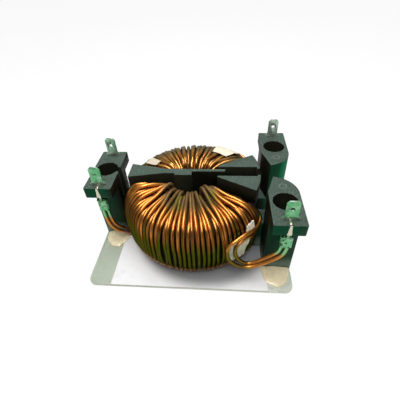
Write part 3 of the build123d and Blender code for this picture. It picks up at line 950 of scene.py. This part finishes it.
@dataclass
class Terminal:
    """Blade terminal with a stem that widens at its foot and a crimp rolled round two wires."""

    row: Row
    end: End
    edge: float = 0.12
    barrel_top: float = 38.4
    barrel_length: float = 7.4
    barrel_outset: float = 1.35
    barrel_wall: float = 0.3
    pair_offset: float = 1.5
    roll_radius: float = 1.78
    flare: float = 0.16
    press: float = 0.05
    presses: int = 5
    mouth_power: int = 6
    lobe_slope: float = 2.4
    lobe_edge: float = 1.2
    lobe_rolls: Pair = (0.82, 0.5)
    crease: float = 0.28
    crease_width: float = 0.22
    inner_crease: float = 0.4
    stem_depth: float = 0.25
    stem_levels: tuple[Pair, ...] = ((48.4, 0.55), (46.4, 0.7), (44.4, 0.9), (42.5, 1.2), (41.8, 1.0))
    around: int = 40
    levels: int = 15

    def build(self) -> None:
        """Build the blade, its crimp and the foot of its stem."""
        name = f"{self.row.label}_{self.end.value}"
        Piece.softened(f"terminal_{name}", TinnedMetal(), "tinned_terminal", self.edge)
        Piece.add(f"crimp_{name}", self.crimp(), TinnedMetal(), "tinned_terminal")
        Piece.add(f"stem_{name}", self.stem(), TinnedMetal(), "tinned_terminal")

    def place(self, across: float, beyond: float, height: float) -> Vector:
        """Place of a point, from its way across and beyond the blade and its height."""
        x, y = BLADES[self.end]
        return Vector((x + across, self.row.value * (y + beyond), height)) * MM

    def stem(self) -> bpy.types.Mesh:
        """Foot of the stem, which widens as it comes out of the head's slot.

        Returns:
            The mesh of the foot.
        """
        work = bmesh.new()
        face = STEM_FACES[self.end]
        back = face - self.stem_depth
        rings = []
        for level, half in self.stem_levels:
            corners = ((-half, face), (half, face), (half, back), (-half, back))
            rings.append([work.verts.new(self.place(*corner, level)) for corner in corners])
        Piece.skinned(work, rings, closed=True)
        for cap in (rings[0], rings[-1]):
            work.faces.new(cap)
        bmesh.ops.recalc_face_normals(work, faces=work.faces)
        return Piece.meshed("stem", work)

    def crimp(self) -> bpy.types.Mesh:
        """Rolled crimp: two lobes with a crease between them, flared at both mouths.

        Returns:
            The mesh of the crimp.
        """
        work = bmesh.new()
        rings = []
        for level in range(self.levels):
            share = level / (self.levels - 1)
            mouth = abs(2.0 * share - 1.0) ** self.mouth_power
            dent = self.press * math.sin(share * math.pi * self.presses) ** 2
            swell = self.roll_radius * (1.0 + self.flare * mouth - dent)
            height = self.barrel_top - self.barrel_length * share
            outline = (self.lobe(2.0 * math.pi * i / self.around, swell) for i in range(self.around))
            rings.append([work.verts.new(self.place(x, self.barrel_outset + y, height)) for x, y in outline])
        Piece.skinned(work, rings, closed=True)
        bmesh.ops.recalc_face_normals(work, faces=work.faces)
        bmesh.ops.solidify(work, geom=work.faces[:], thickness=self.barrel_wall * MM)
        mesh = Piece.meshed("crimp", work)
        mesh.shade_smooth()
        return mesh

    def lobe(self, angle: float, swell: float) -> Pair:
        """Point of the crimp's outline.

        Args:
            angle: Angle round the crimp in radians.
            swell: Radius of the roll at this level.

        Returns:
            Way across the blade and way out from the crimp's middle.
        """
        across, out = math.cos(angle), math.sin(angle)
        lobe = math.copysign(self.pair_offset, across) * min(1.0, abs(across) * self.lobe_slope)
        fold = math.exp(-((across / self.crease_width) ** 2)) * (1.0 if out > 0 else self.inner_crease)
        roll = self.lobe_rolls[abs(lobe) <= self.lobe_edge]
        return (lobe + swell * across * roll, swell * out * (1.0 - self.crease * fold))


@dataclass
class Winding:
    """Two wires wound side by side round half of the ring, from the left crimp to the right one."""

    row: Row
    radius: float = 1.03
    turns: int = 20
    start: float = 196.2
    end: float = 333.0
    layers: int = 3
    layer_step: float = 1.75
    hole_radius: float = 16.95
    outer_radius: float = 43.0
    wire_end: float = 39.0
    under: Pair = (38.0, 4.4)
    side_radius: float = 42.7
    offset: float = 1.3
    rear_bulge: float = 3.3
    rear_slack_angle: float = 68.0
    lead_out_tail: int = 2
    spread_in: float = 2.3
    spread_out: float = 0.33
    sway: float = 0.3
    lift: float = 0.45
    lift_out: float = 0.5
    pile: float = 5.4
    pile_arc: float = 26.0
    hump: float = 2.8
    hump_share: float = 0.4
    crown: int = 6
    last_crown: int = 10
    belly: int = 13
    heap: tuple[float, ...] = (-0.6, 0.0, 1.1, 1.15, 0.35)
    gather: Pair = (9.0, 15.0)
    sink: Pair = (3.5, 1.4)
    rear_dome: tuple[float, ...] = (-3.6, -2.8, -0.9, 0.1, 0.2, 0.1)
    seed: int = 1100
    row_seed: int = 110
    lead_in: dict[Strand, list[Point]] = field(default_factory=lambda: {
        Strand.A: [
            (-49.35, -16.33, 26.5), (-48.7, -15.9, 19.0), (-47.0, -14.8, 14.4), (-44.4, -12.5, 10.4),
            (-41.6, -9.9, 5.2),
        ],
        Strand.B: [
            (-52.35, -16.33, 26.5), (-51.1, -16.9, 18.4), (-48.4, -17.0, 14.0), (-46.0, -16.3, 11.4),
            (-43.6, -14.5, 8.6), (-41.0, -11.5, 4.4),
        ],
    })
    out_point: dict[Strand, Pair] = field(default_factory=lambda: {
        Strand.A: (44.5, 27.5),
        Strand.B: (44.3, 31.6),
    })
    lead_out: dict[Strand, list[Point]] = field(default_factory=lambda: {
        Strand.A: [
            (35.9, -30.0, 27.0), (32.0, -34.4, 29.6), (28.0, -37.8, 29.0), (25.6, -39.6, 26.0),
            (26.0, -40.3, 21.7), (27.8, -40.1, 17.2), (31.3, -39.6, 13.9), (35.6, -39.4, 13.6),
            (46.4, -39.5, 22.4), (49.2, -40.2, 27.5),
        ],
        Strand.B: [
            (37.4, -29.0, 30.7), (31.2, -35.6, 33.4), (25.6, -39.6, 32.2), (21.8, -41.6, 29.6),
            (21.6, -42.3, 25.4), (22.2, -42.3, 20.4), (25.4, -42.0, 15.8), (30.6, -41.5, 13.0),
            (36.6, -41.3, 13.2), (49.0, -41.1, 21.9), (52.2, -40.2, 27.5),
        ],
    })

    def build(self) -> None:
        """Build both wires."""
        for strand in Strand:
            name = f"{self.row.label}_wire_{strand.label}"
            mesh = self.tube(name, self.route(strand))
            Piece.add(f"{name}_wound", mesh, EnamelledCopper(), "copper_wire", name)

    def bulge(self, angle: float) -> float:
        """How far this winding stands off the core along Y, at an angle in degrees."""
        return self.rear_bulge * math.sin(math.radians(angle)) ** 2 if self.row is Row.REAR else 0.0

    def on_winding(self, radius: float, height: float, angle: float) -> Point:
        """Point of the winding laid out at the front, carried off centre as it leaves the hole.

        Args:
            radius: Distance from the ring's axis.
            height: Height above the plate's foot.
            angle: Angle about the ring's axis in degrees.

        Returns:
            The point in millimetres.
        """
        share = max(0.0, radius - self.hole_radius) / (self.side_radius - self.hole_radius)
        turn = math.radians(angle)
        x, y = radius * math.cos(turn), radius * math.sin(turn)
        return (x + self.offset * share, y - self.bulge(angle) * share, height)

    def section(self, layer: int) -> list[Pair]:
        """Points of one turn round the ring's section, from under the ring up through the hole.

        Args:
            layer: Place of the turn in the pile at the hole.

        Returns:
            Radius and height of each point.
        """
        inner = self.hole_radius - self.layer_step * layer
        return [
            (30.0, 4.3 - 0.3 * layer),
            (inner + 3.0, 6.0 - 1.6 * layer),
            (inner + 0.1, 7.6 - 1.6 * layer),
            (inner, 15.0),
            (inner, 30.0),
            (inner, 36.6 + 1.5 * layer),
            (inner + 0.3, 39.4 + 1.8 * layer),
            (inner + 4.5, 39.8 + 1.7 * layer),
            (26.0, 39.6 + 1.35 * layer),
            (34.8 - layer, 39.7 + 0.95 * layer),
            (38.9, 38.1 + 0.3 * layer),
            (41.4, 34.6),
            (42.9, 29.0),
            (43.1, 20.5),
            (42.9, 14.0),
            (41.4, 8.2),
            (38.2, 4.3),
        ]

    def heaped(self, index: int, pile: float, tail: float, hump: float) -> float:
        """Height that a point of a turn gains over its section.

        Args:
            index: Place of the point in the section.
            pile: How near the turn is to the start of the winding, from 0 to 1.
            tail: How near the turn is to the end of the winding, from 0 to 1.
            hump: Height of a loose turn at the hole.

        Returns:
            The gain in millimetres.
        """
        place = index - self.crown
        gain = self.pile * pile * self.heap[place] if 0 <= place < len(self.heap) else 0.0
        gain += hump - self.sink[place] * tail if 0 <= place < len(self.sink) else 0.0
        domed = self.row is Row.REAR and 0 <= place + 1 < len(self.rear_dome)
        return gain + (self.rear_dome[place + 1] if domed else 0.0)

    def route(self, strand: Strand) -> list[Point]:
        """Points of one wire from its left crimp, round the ring turn by turn, to its right crimp.

        Args:
            strand: Which wire of the pair.

        Returns:
            Points in millimetres.
        """
        chance = random.Random(self.seed + self.row.value * self.row_seed + strand.value)
        step = (self.end - self.start) / (2 * self.turns - 1)
        first, last = self.lead_in[strand][0], self.lead_out[strand][-1]
        points = [(first[0], first[1], self.wire_end), *self.lead_in[strand]]
        points.append(self.on_winding(*self.under, self.start + step * (strand.value - 2)))
        for turn in range(self.turns):
            lay = 2 * turn + strand.value
            angle = self.start + step * lay
            section = self.section(lay % self.layers)
            inside, outside = chance.gauss(0.0, self.spread_in), chance.gauss(0.0, self.spread_out)
            rise, swing = chance.uniform(-self.lift, self.lift), chance.gauss(0.0, self.sway)
            pile = max(0.0, 1.0 - (angle - self.start) / self.pile_arc)
            tail = max(0.0, 1.0 - (self.end - angle) / self.pile_arc)
            crowd = self.gather[0] * pile - self.gather[1] * tail
            hump = self.hump * (1.0 - pile) if chance.random() < self.hump_share else 0.0
            final = turn == self.turns - 1
            for index, (radius, height) in enumerate(section[:self.last_crown + 1] if final else section):
                share = (radius - self.hole_radius) / (self.outer_radius - self.hole_radius)
                share = min(1.0, max(0.0, share))
                shift = (inside + crowd) * (1.0 - share) + outside * share
                shift += swing if index == self.belly else 0.0
                lifted = rise if self.crown <= index <= self.belly else 0.0
                top = height + lifted * (1.0 - share) + self.heaped(index, pile, tail, hump)
                points.append(self.on_winding(radius + self.lift_out * lifted * share, top, angle + shift))
            if final:
                points.append(self.on_winding(*self.out_point[strand], angle))
        slack, loose = self.bulge(self.rear_slack_angle), len(self.lead_out[strand]) - self.lead_out_tail
        points += [(x, y - slack * (i < loose), z) for i, (x, y, z) in enumerate(self.lead_out[strand])]
        points.append((last[0], last[1], self.wire_end))
        return [(x, -self.row.value * y, z) for x, y, z in points]

    def tube(self, name: str, points: list[Point]) -> bpy.types.Mesh:
        """Round wire along a smooth line.

        Args:
            name: Name of the curve.
            points: Control points of the line in millimetres.

        Returns:
            The mesh of the wire.
        """
        curve = bpy.data.curves.new(name, "CURVE")
        curve.dimensions = "3D"
        spline = curve.splines.new("NURBS")
        spline.points.add(len(points) - 1)
        for knot, point in zip(spline.points, points):
            knot.co = (*(Vector(point) * MM), 1.0)
        spline.order_u = 3
        spline.use_endpoint_u = True
        spline.resolution_u = 5
        curve.bevel_depth = self.radius * MM
        curve.bevel_resolution = 5
        curve.use_fill_caps = True
        holder = bpy.data.objects.new(name + "_line", curve)
        bpy.context.scene.collection.objects.link(holder)
        mesh = Piece.evaluated(holder)
        bpy.data.objects.remove(holder)
        mesh.shade_smooth()
        return mesh


@dataclass
class TapePatch:
    """Woven tape that lies over the wires, with ragged edges and the wires showing through it."""

    node: str
    line: list[Pair]
    rows: list[Point]
    seed: int
    centre: Pair
    thickness: float = 0.3
    wire_pitch: float = 3.51
    down: int = 26
    across: int = 34
    ripple: float = 0.16
    ragged: float = 0.6
    frays: float = 9.0
    crumple: float = 0.3
    folds: Pair = (5.0, 4.0)

    def build(self) -> None:
        """Build the patch as a sheet with thickness."""
        work = bmesh.new()
        columns = [j / self.across for j in range(self.across + 1)]
        grid = [[work.verts.new(self.point(i / self.down, part)) for part in columns]
                for i in range(self.down + 1)]
        Piece.skinned(work, grid)
        bmesh.ops.recalc_face_normals(work, faces=work.faces)
        mesh = Piece.meshed(self.node, work)
        piece = Piece.add(f"{self.node}_cloth", mesh, WovenTape(), "white_tape", self.node)
        solid = piece.modifiers.new("thickness", "SOLIDIFY")
        solid.thickness = self.thickness * MM
        solid.offset = 0.0
        Piece.applied(piece)

    def profile(self, share: float) -> Pair:
        """Section of the patch.

        Args:
            share: Way along the patch's line, from 0 to 1.

        Returns:
            Radius and height there.
        """
        lengths = [math.dist(a, b) for a, b in zip(self.line, self.line[1:])]
        left = share * sum(lengths)
        for a, b, length in zip(self.line, self.line[1:], lengths):
            if left <= length:
                part = left / length
                return (a[0] + (b[0] - a[0]) * part, a[1] + (b[1] - a[1]) * part)
            left -= length
        return self.line[-1]

    def limits(self, share: float) -> Pair:
        """Width of the patch.

        Args:
            share: Way along the patch's line, from 0 to 1.

        Returns:
            First and last angle there, in degrees.
        """
        for (s0, a0, b0), (s1, a1, b1) in zip(self.rows, self.rows[1:]):
            if s0 <= share <= s1:
                part = (share - s0) / (s1 - s0)
                return (a0 + (a1 - a0) * part, b0 + (b1 - b0) * part)
        return self.rows[-1][1:]

    def point(self, share: float, part: float) -> Vector:
        """Place of a point of the patch.

        Args:
            share: Way along the line, from 0 to 1.
            part: Way across, from 0 to 1.

        Returns:
            The place in metres.
        """
        radius, height = self.profile(share)
        first, last = self.limits(share)
        fray = noise.noise(Vector((share * self.frays, self.seed, round(part)))) * self.ragged
        angle = first + (last - first) * part + fray * (2.0 * abs(part - 0.5)) ** 3
        tuck = noise.noise(Vector((part * self.frays, self.seed, 3.0 * round(share)))) * self.ragged
        tuck *= (2.0 * abs(share - 0.5)) ** 5
        wave = self.ripple * math.cos(2.0 * math.pi * angle / self.wire_pitch)
        fold = Vector((share * self.folds[0], part * self.folds[1], self.seed))
        crumple = self.crumple * noise.noise(fold)
        out = radius + wave + crumple
        turn = math.radians(angle)
        x, y = self.centre[0] + out * math.cos(turn), self.centre[1] + out * math.sin(turn)
        return Vector((x, y, height + tuck + 0.5 * crumple)) * MM


@dataclass
class AdhesiveBead:
    """Bead of adhesive that has set against the foot of a post."""

    row: Row
    end: End
    middle: float
    face: float
    reach: Pair
    crown: float
    seed: int
    plate_top: float = 1.5
    sheet_top: float = 1.9
    sheet_half: float = 45.0
    sunk: float = 0.05
    lip: float = 0.55
    wobble: Pair = (0.1, 2.2)
    lumps: Pair = (0.35, 0.22)
    dome_powers: Pair = (2.4, 0.7)
    lip_power: int = 14
    weld: float = 0.005
    around: int = 64
    steps: int = 16

    def build(self) -> None:
        """Build the bead as a closed lump."""
        work = bmesh.new()
        top, base = ([[work.verts.new(self.point(turn, step, upper)) for turn in range(self.around + 1)]
                      for step in range(self.steps + 1)] for upper in (True, False))
        for rows in (top, base, [top[-1], base[-1]]):
            Piece.skinned(work, rows)
        for edge in (0, -1):
            Piece.skinned(work, [[row[edge] for row in sheet] for sheet in (top, base)])
        bmesh.ops.remove_doubles(work, verts=work.verts, dist=self.weld * MM)
        bmesh.ops.recalc_face_normals(work, faces=work.faces)
        node = f"adhesive_{self.row.label}_{self.end.value}"
        mesh = Piece.meshed(node, work)
        piece = Piece.add(f"{node}_set", mesh, CreamAdhesive(), "cream_adhesive", node)
        soft = piece.modifiers.new("soft", "SUBSURF")
        soft.levels = 1
        Piece.applied(piece)

    def point(self, turn: int, step: int, upper: bool) -> Vector:
        """Place of a point of the bead.

        Args:
            turn: Index round the half circle.
            step: Index from the middle to the rim.
            upper: Whether the point is on the skin or on the underside.

        Returns:
            The place in metres.
        """
        angle = math.pi * turn / self.around
        share = step / self.steps
        size, waves = self.wobble
        rim = Vector((waves * math.cos(angle), waves * math.sin(angle), self.seed))
        out = share * (1.0 + size * noise.noise(rim))
        x = self.middle + self.reach[0] * out * math.cos(angle)
        y = self.row.value * (self.face - self.sunk + self.reach[1] * out * math.sin(angle))
        floor = self.sheet_top if abs(x) < self.sheet_half else self.plate_top
        if not upper:
            return Vector((x, y, floor)) * MM
        size, waves = self.lumps
        lump = 1.0 + size * noise.noise(Vector((x * waves, y * waves, self.seed)))
        dome = (1.0 - share ** self.dome_powers[0]) ** self.dome_powers[1]
        edge = self.lip * (1.0 - share ** self.lip_power)
        return Vector((x, y, floor + edge + self.crown * dome * lump)) * MM


@dataclass
class Studio:
    """Pale floor, soft light and the camera."""

    eye: Point = (18.288, -138.543, 150.093)
    yaw: float = -6.418
    pitch: float = 41.579
    roll: float = -3.198
    focal: float = 294.306
    centre: Pair = (197.141, 197.786)
    frame_size: float = 400.0
    sensor: float = 36.0
    ambient: float = 0.31
    aim: Point = (0.0, 0.0, 25.0)
    floor_half: float = 2500.0
    floor_drop: float = 0.2
    floor_glow: float = 0.92

    def build(self) -> None:
        """Set up the floor, lights and camera."""
        self.world()
        self.floor()
        self.lamp("front_softbox", (20.0, -305.0, 545.0), 185.0, 1.6)
        self.lamp("overhead_softbox", (-40.0, 20.0, 620.0), 420.0, 3.5)
        self.lamp("rear_softbox", (10.0, 360.0, 430.0), 150.0, 0.6)
        self.camera()
        bpy.context.scene.view_settings.view_transform = "Standard"

    def world(self) -> None:
        """Soft light from all round."""
        world = bpy.data.worlds.new("studio")
        world.use_nodes = True
        bpy.context.scene.world = world
        canvas = Canvas(world.node_tree)
        world.node_tree.nodes.clear()
        light = canvas.node("Background", {"Color": (1.0, 1.0, 1.0), "Strength": self.ambient})
        canvas.node("OutputWorld", {"Surface": light.outputs[0]})

    def floor(self) -> None:
        """Plain pale floor under the plate, which keeps the part's shadow."""
        work = bmesh.new()
        bmesh.ops.create_grid(work, x_segments=4, y_segments=4, size=self.floor_half * MM)
        mesh = Piece.meshed("floor", work)
        material = bpy.data.materials.new("pale_floor")
        material.use_nodes = True
        material.node_tree.nodes.clear()
        canvas = Canvas(material.node_tree)
        path = canvas.node("LightPath").outputs
        seen = canvas.math("MAXIMUM", path["Is Camera Ray"], path["Is Glossy Ray"])
        seen = canvas.math("MAXIMUM", seen, path["Is Transmission Ray"])
        matte = canvas.node("BsdfDiffuse", {"Color": (0.9, 0.9, 0.9)})
        glow = canvas.node("Emission", {"Color": (1.0, 1.0, 1.0), "Strength": 1.0})
        share = canvas.times(seen, self.floor_glow)
        mixed = canvas.node("MixShader", {0: share, 1: matte.outputs[0], 2: glow.outputs[0]})
        canvas.node("OutputMaterial", {"Surface": mixed.outputs[0]})
        mesh.materials.append(material)
        floor = bpy.data.objects.new("floor", mesh)
        floor.location = (0.0, 0.0, -self.floor_drop * MM)
        bpy.context.scene.collection.objects.link(floor)

    def lamp(self, name: str, place: Point, size: float, watts: float) -> None:
        """Square soft lamp that looks at the ring.

        Args:
            name: Name of the lamp.
            place: Where it hangs, in millimetres.
            size: Side of its face in millimetres.
            watts: Its power.
        """
        data = bpy.data.lights.new(name, "AREA")
        data.size = size * MM
        data.energy = watts
        lamp = bpy.data.objects.new(name, data)
        lamp.location = Vector(place) * MM
        aim = Vector(self.aim) * MM - lamp.location
        lamp.rotation_euler = aim.to_track_quat("-Z", "Y").to_euler()
        bpy.context.scene.collection.objects.link(lamp)

    def camera(self) -> None:
        """Camera where the photograph was taken from."""
        yaw, pitch, roll = (math.radians(a) for a in (self.yaw, self.pitch, self.roll))
        ahead = Vector((math.sin(yaw) * math.cos(pitch), math.cos(yaw) * math.cos(pitch), -math.sin(pitch)))
        level = Vector((math.cos(yaw), -math.sin(yaw), 0.0))
        above = level.cross(ahead)
        right = level * math.cos(roll) + above * math.sin(roll)
        up = above * math.cos(roll) - level * math.sin(roll)
        data = bpy.data.cameras.new("camera")
        data.sensor_width = self.sensor
        data.lens = self.focal / self.frame_size * self.sensor
        data.shift_x = (self.frame_size / 2 - self.centre[0]) / self.frame_size
        data.shift_y = (self.centre[1] - self.frame_size / 2) / self.frame_size
        data.clip_start = 5.0 * MM
        camera = bpy.data.objects.new("camera", data)
        turn = Matrix((right, up, -ahead)).transposed()
        camera.matrix_world = Matrix.Translation(Vector(self.eye) * MM) @ turn.to_4x4()
        bpy.context.scene.collection.objects.link(camera)
        bpy.context.scene.camera = camera


def windings() -> dict[Row, Winding]:
    """The two windings by row: the rear one is laid more evenly, with no heap at its start."""
    return {Row.FRONT: Winding(Row.FRONT), Row.REAR: Winding(Row.REAR, lift=0.15, pile=0.0, spread_out=0.2)}


def tape_patches() -> list[TapePatch]:
    """The three patches of tape.

    Returns:
        The patches, the front one first.
    """
    return [
        TapePatch(
            "tape_front_right",
            line=[(42.9, 34.2), (44.7, 27.6), (44.5, 14.0)],
            rows=[(0.0, 315.0, 323.0), (0.28, 314.0, 323.0), (0.38, 300.0, 322.0), (0.62, 298.5, 316.0),
                  (1.0, 299.0, 312.0)],
            seed=3,
            centre=(1.3, 0.0),
        ),
        TapePatch(
            "tape_rear_right",
            line=[(26.2, 43.9), (33.0, 43.7), (37.6, 41.2), (42.0, 36.4)],
            rows=[(0.0, 43.0, 67.0), (0.5, 42.0, 67.5), (1.0, 43.0, 67.0)],
            seed=5,
            centre=(1.3, 2.6),
        ),
        TapePatch(
            "tape_rear_left",
            line=[(26.0, 44.0), (33.6, 43.7)],
            rows=[(0.0, 148.5, 160.0), (1.0, 148.0, 159.5)],
            seed=8,
            centre=(1.3, 1.2),
        ),
    ]


def beads() -> list[AdhesiveBead]:
    """The four beads of adhesive.

    Returns:
        The beads, the front pair first.
    """
    made = []
    for row in Row:
        made.append(AdhesiveBead(row, End.LEFT, -49.8, 8.9, (8.3, 12.6), crown=1.4, seed=4 + row.value))
        made.append(AdhesiveBead(row, End.RIGHT, 49.9, 33.0, (8.3, 13.4), crown=0.8, seed=8 + row.value))
    return made


def main() -> None:
    """Build the sub-assemblies in order."""
    logging.basicConfig(level=logging.INFO, format="%(message)s")
    for assembly in (Studio(), Base(), Mouldings(), Core()):
        assembly.build()
    for row, winding in windings().items():
        for end in End:
            Terminal(row, end).build()
        winding.build()
    for piece in (*tape_patches(), *beads()):
        piece.build()


if __name__ == "__main__":
    main()
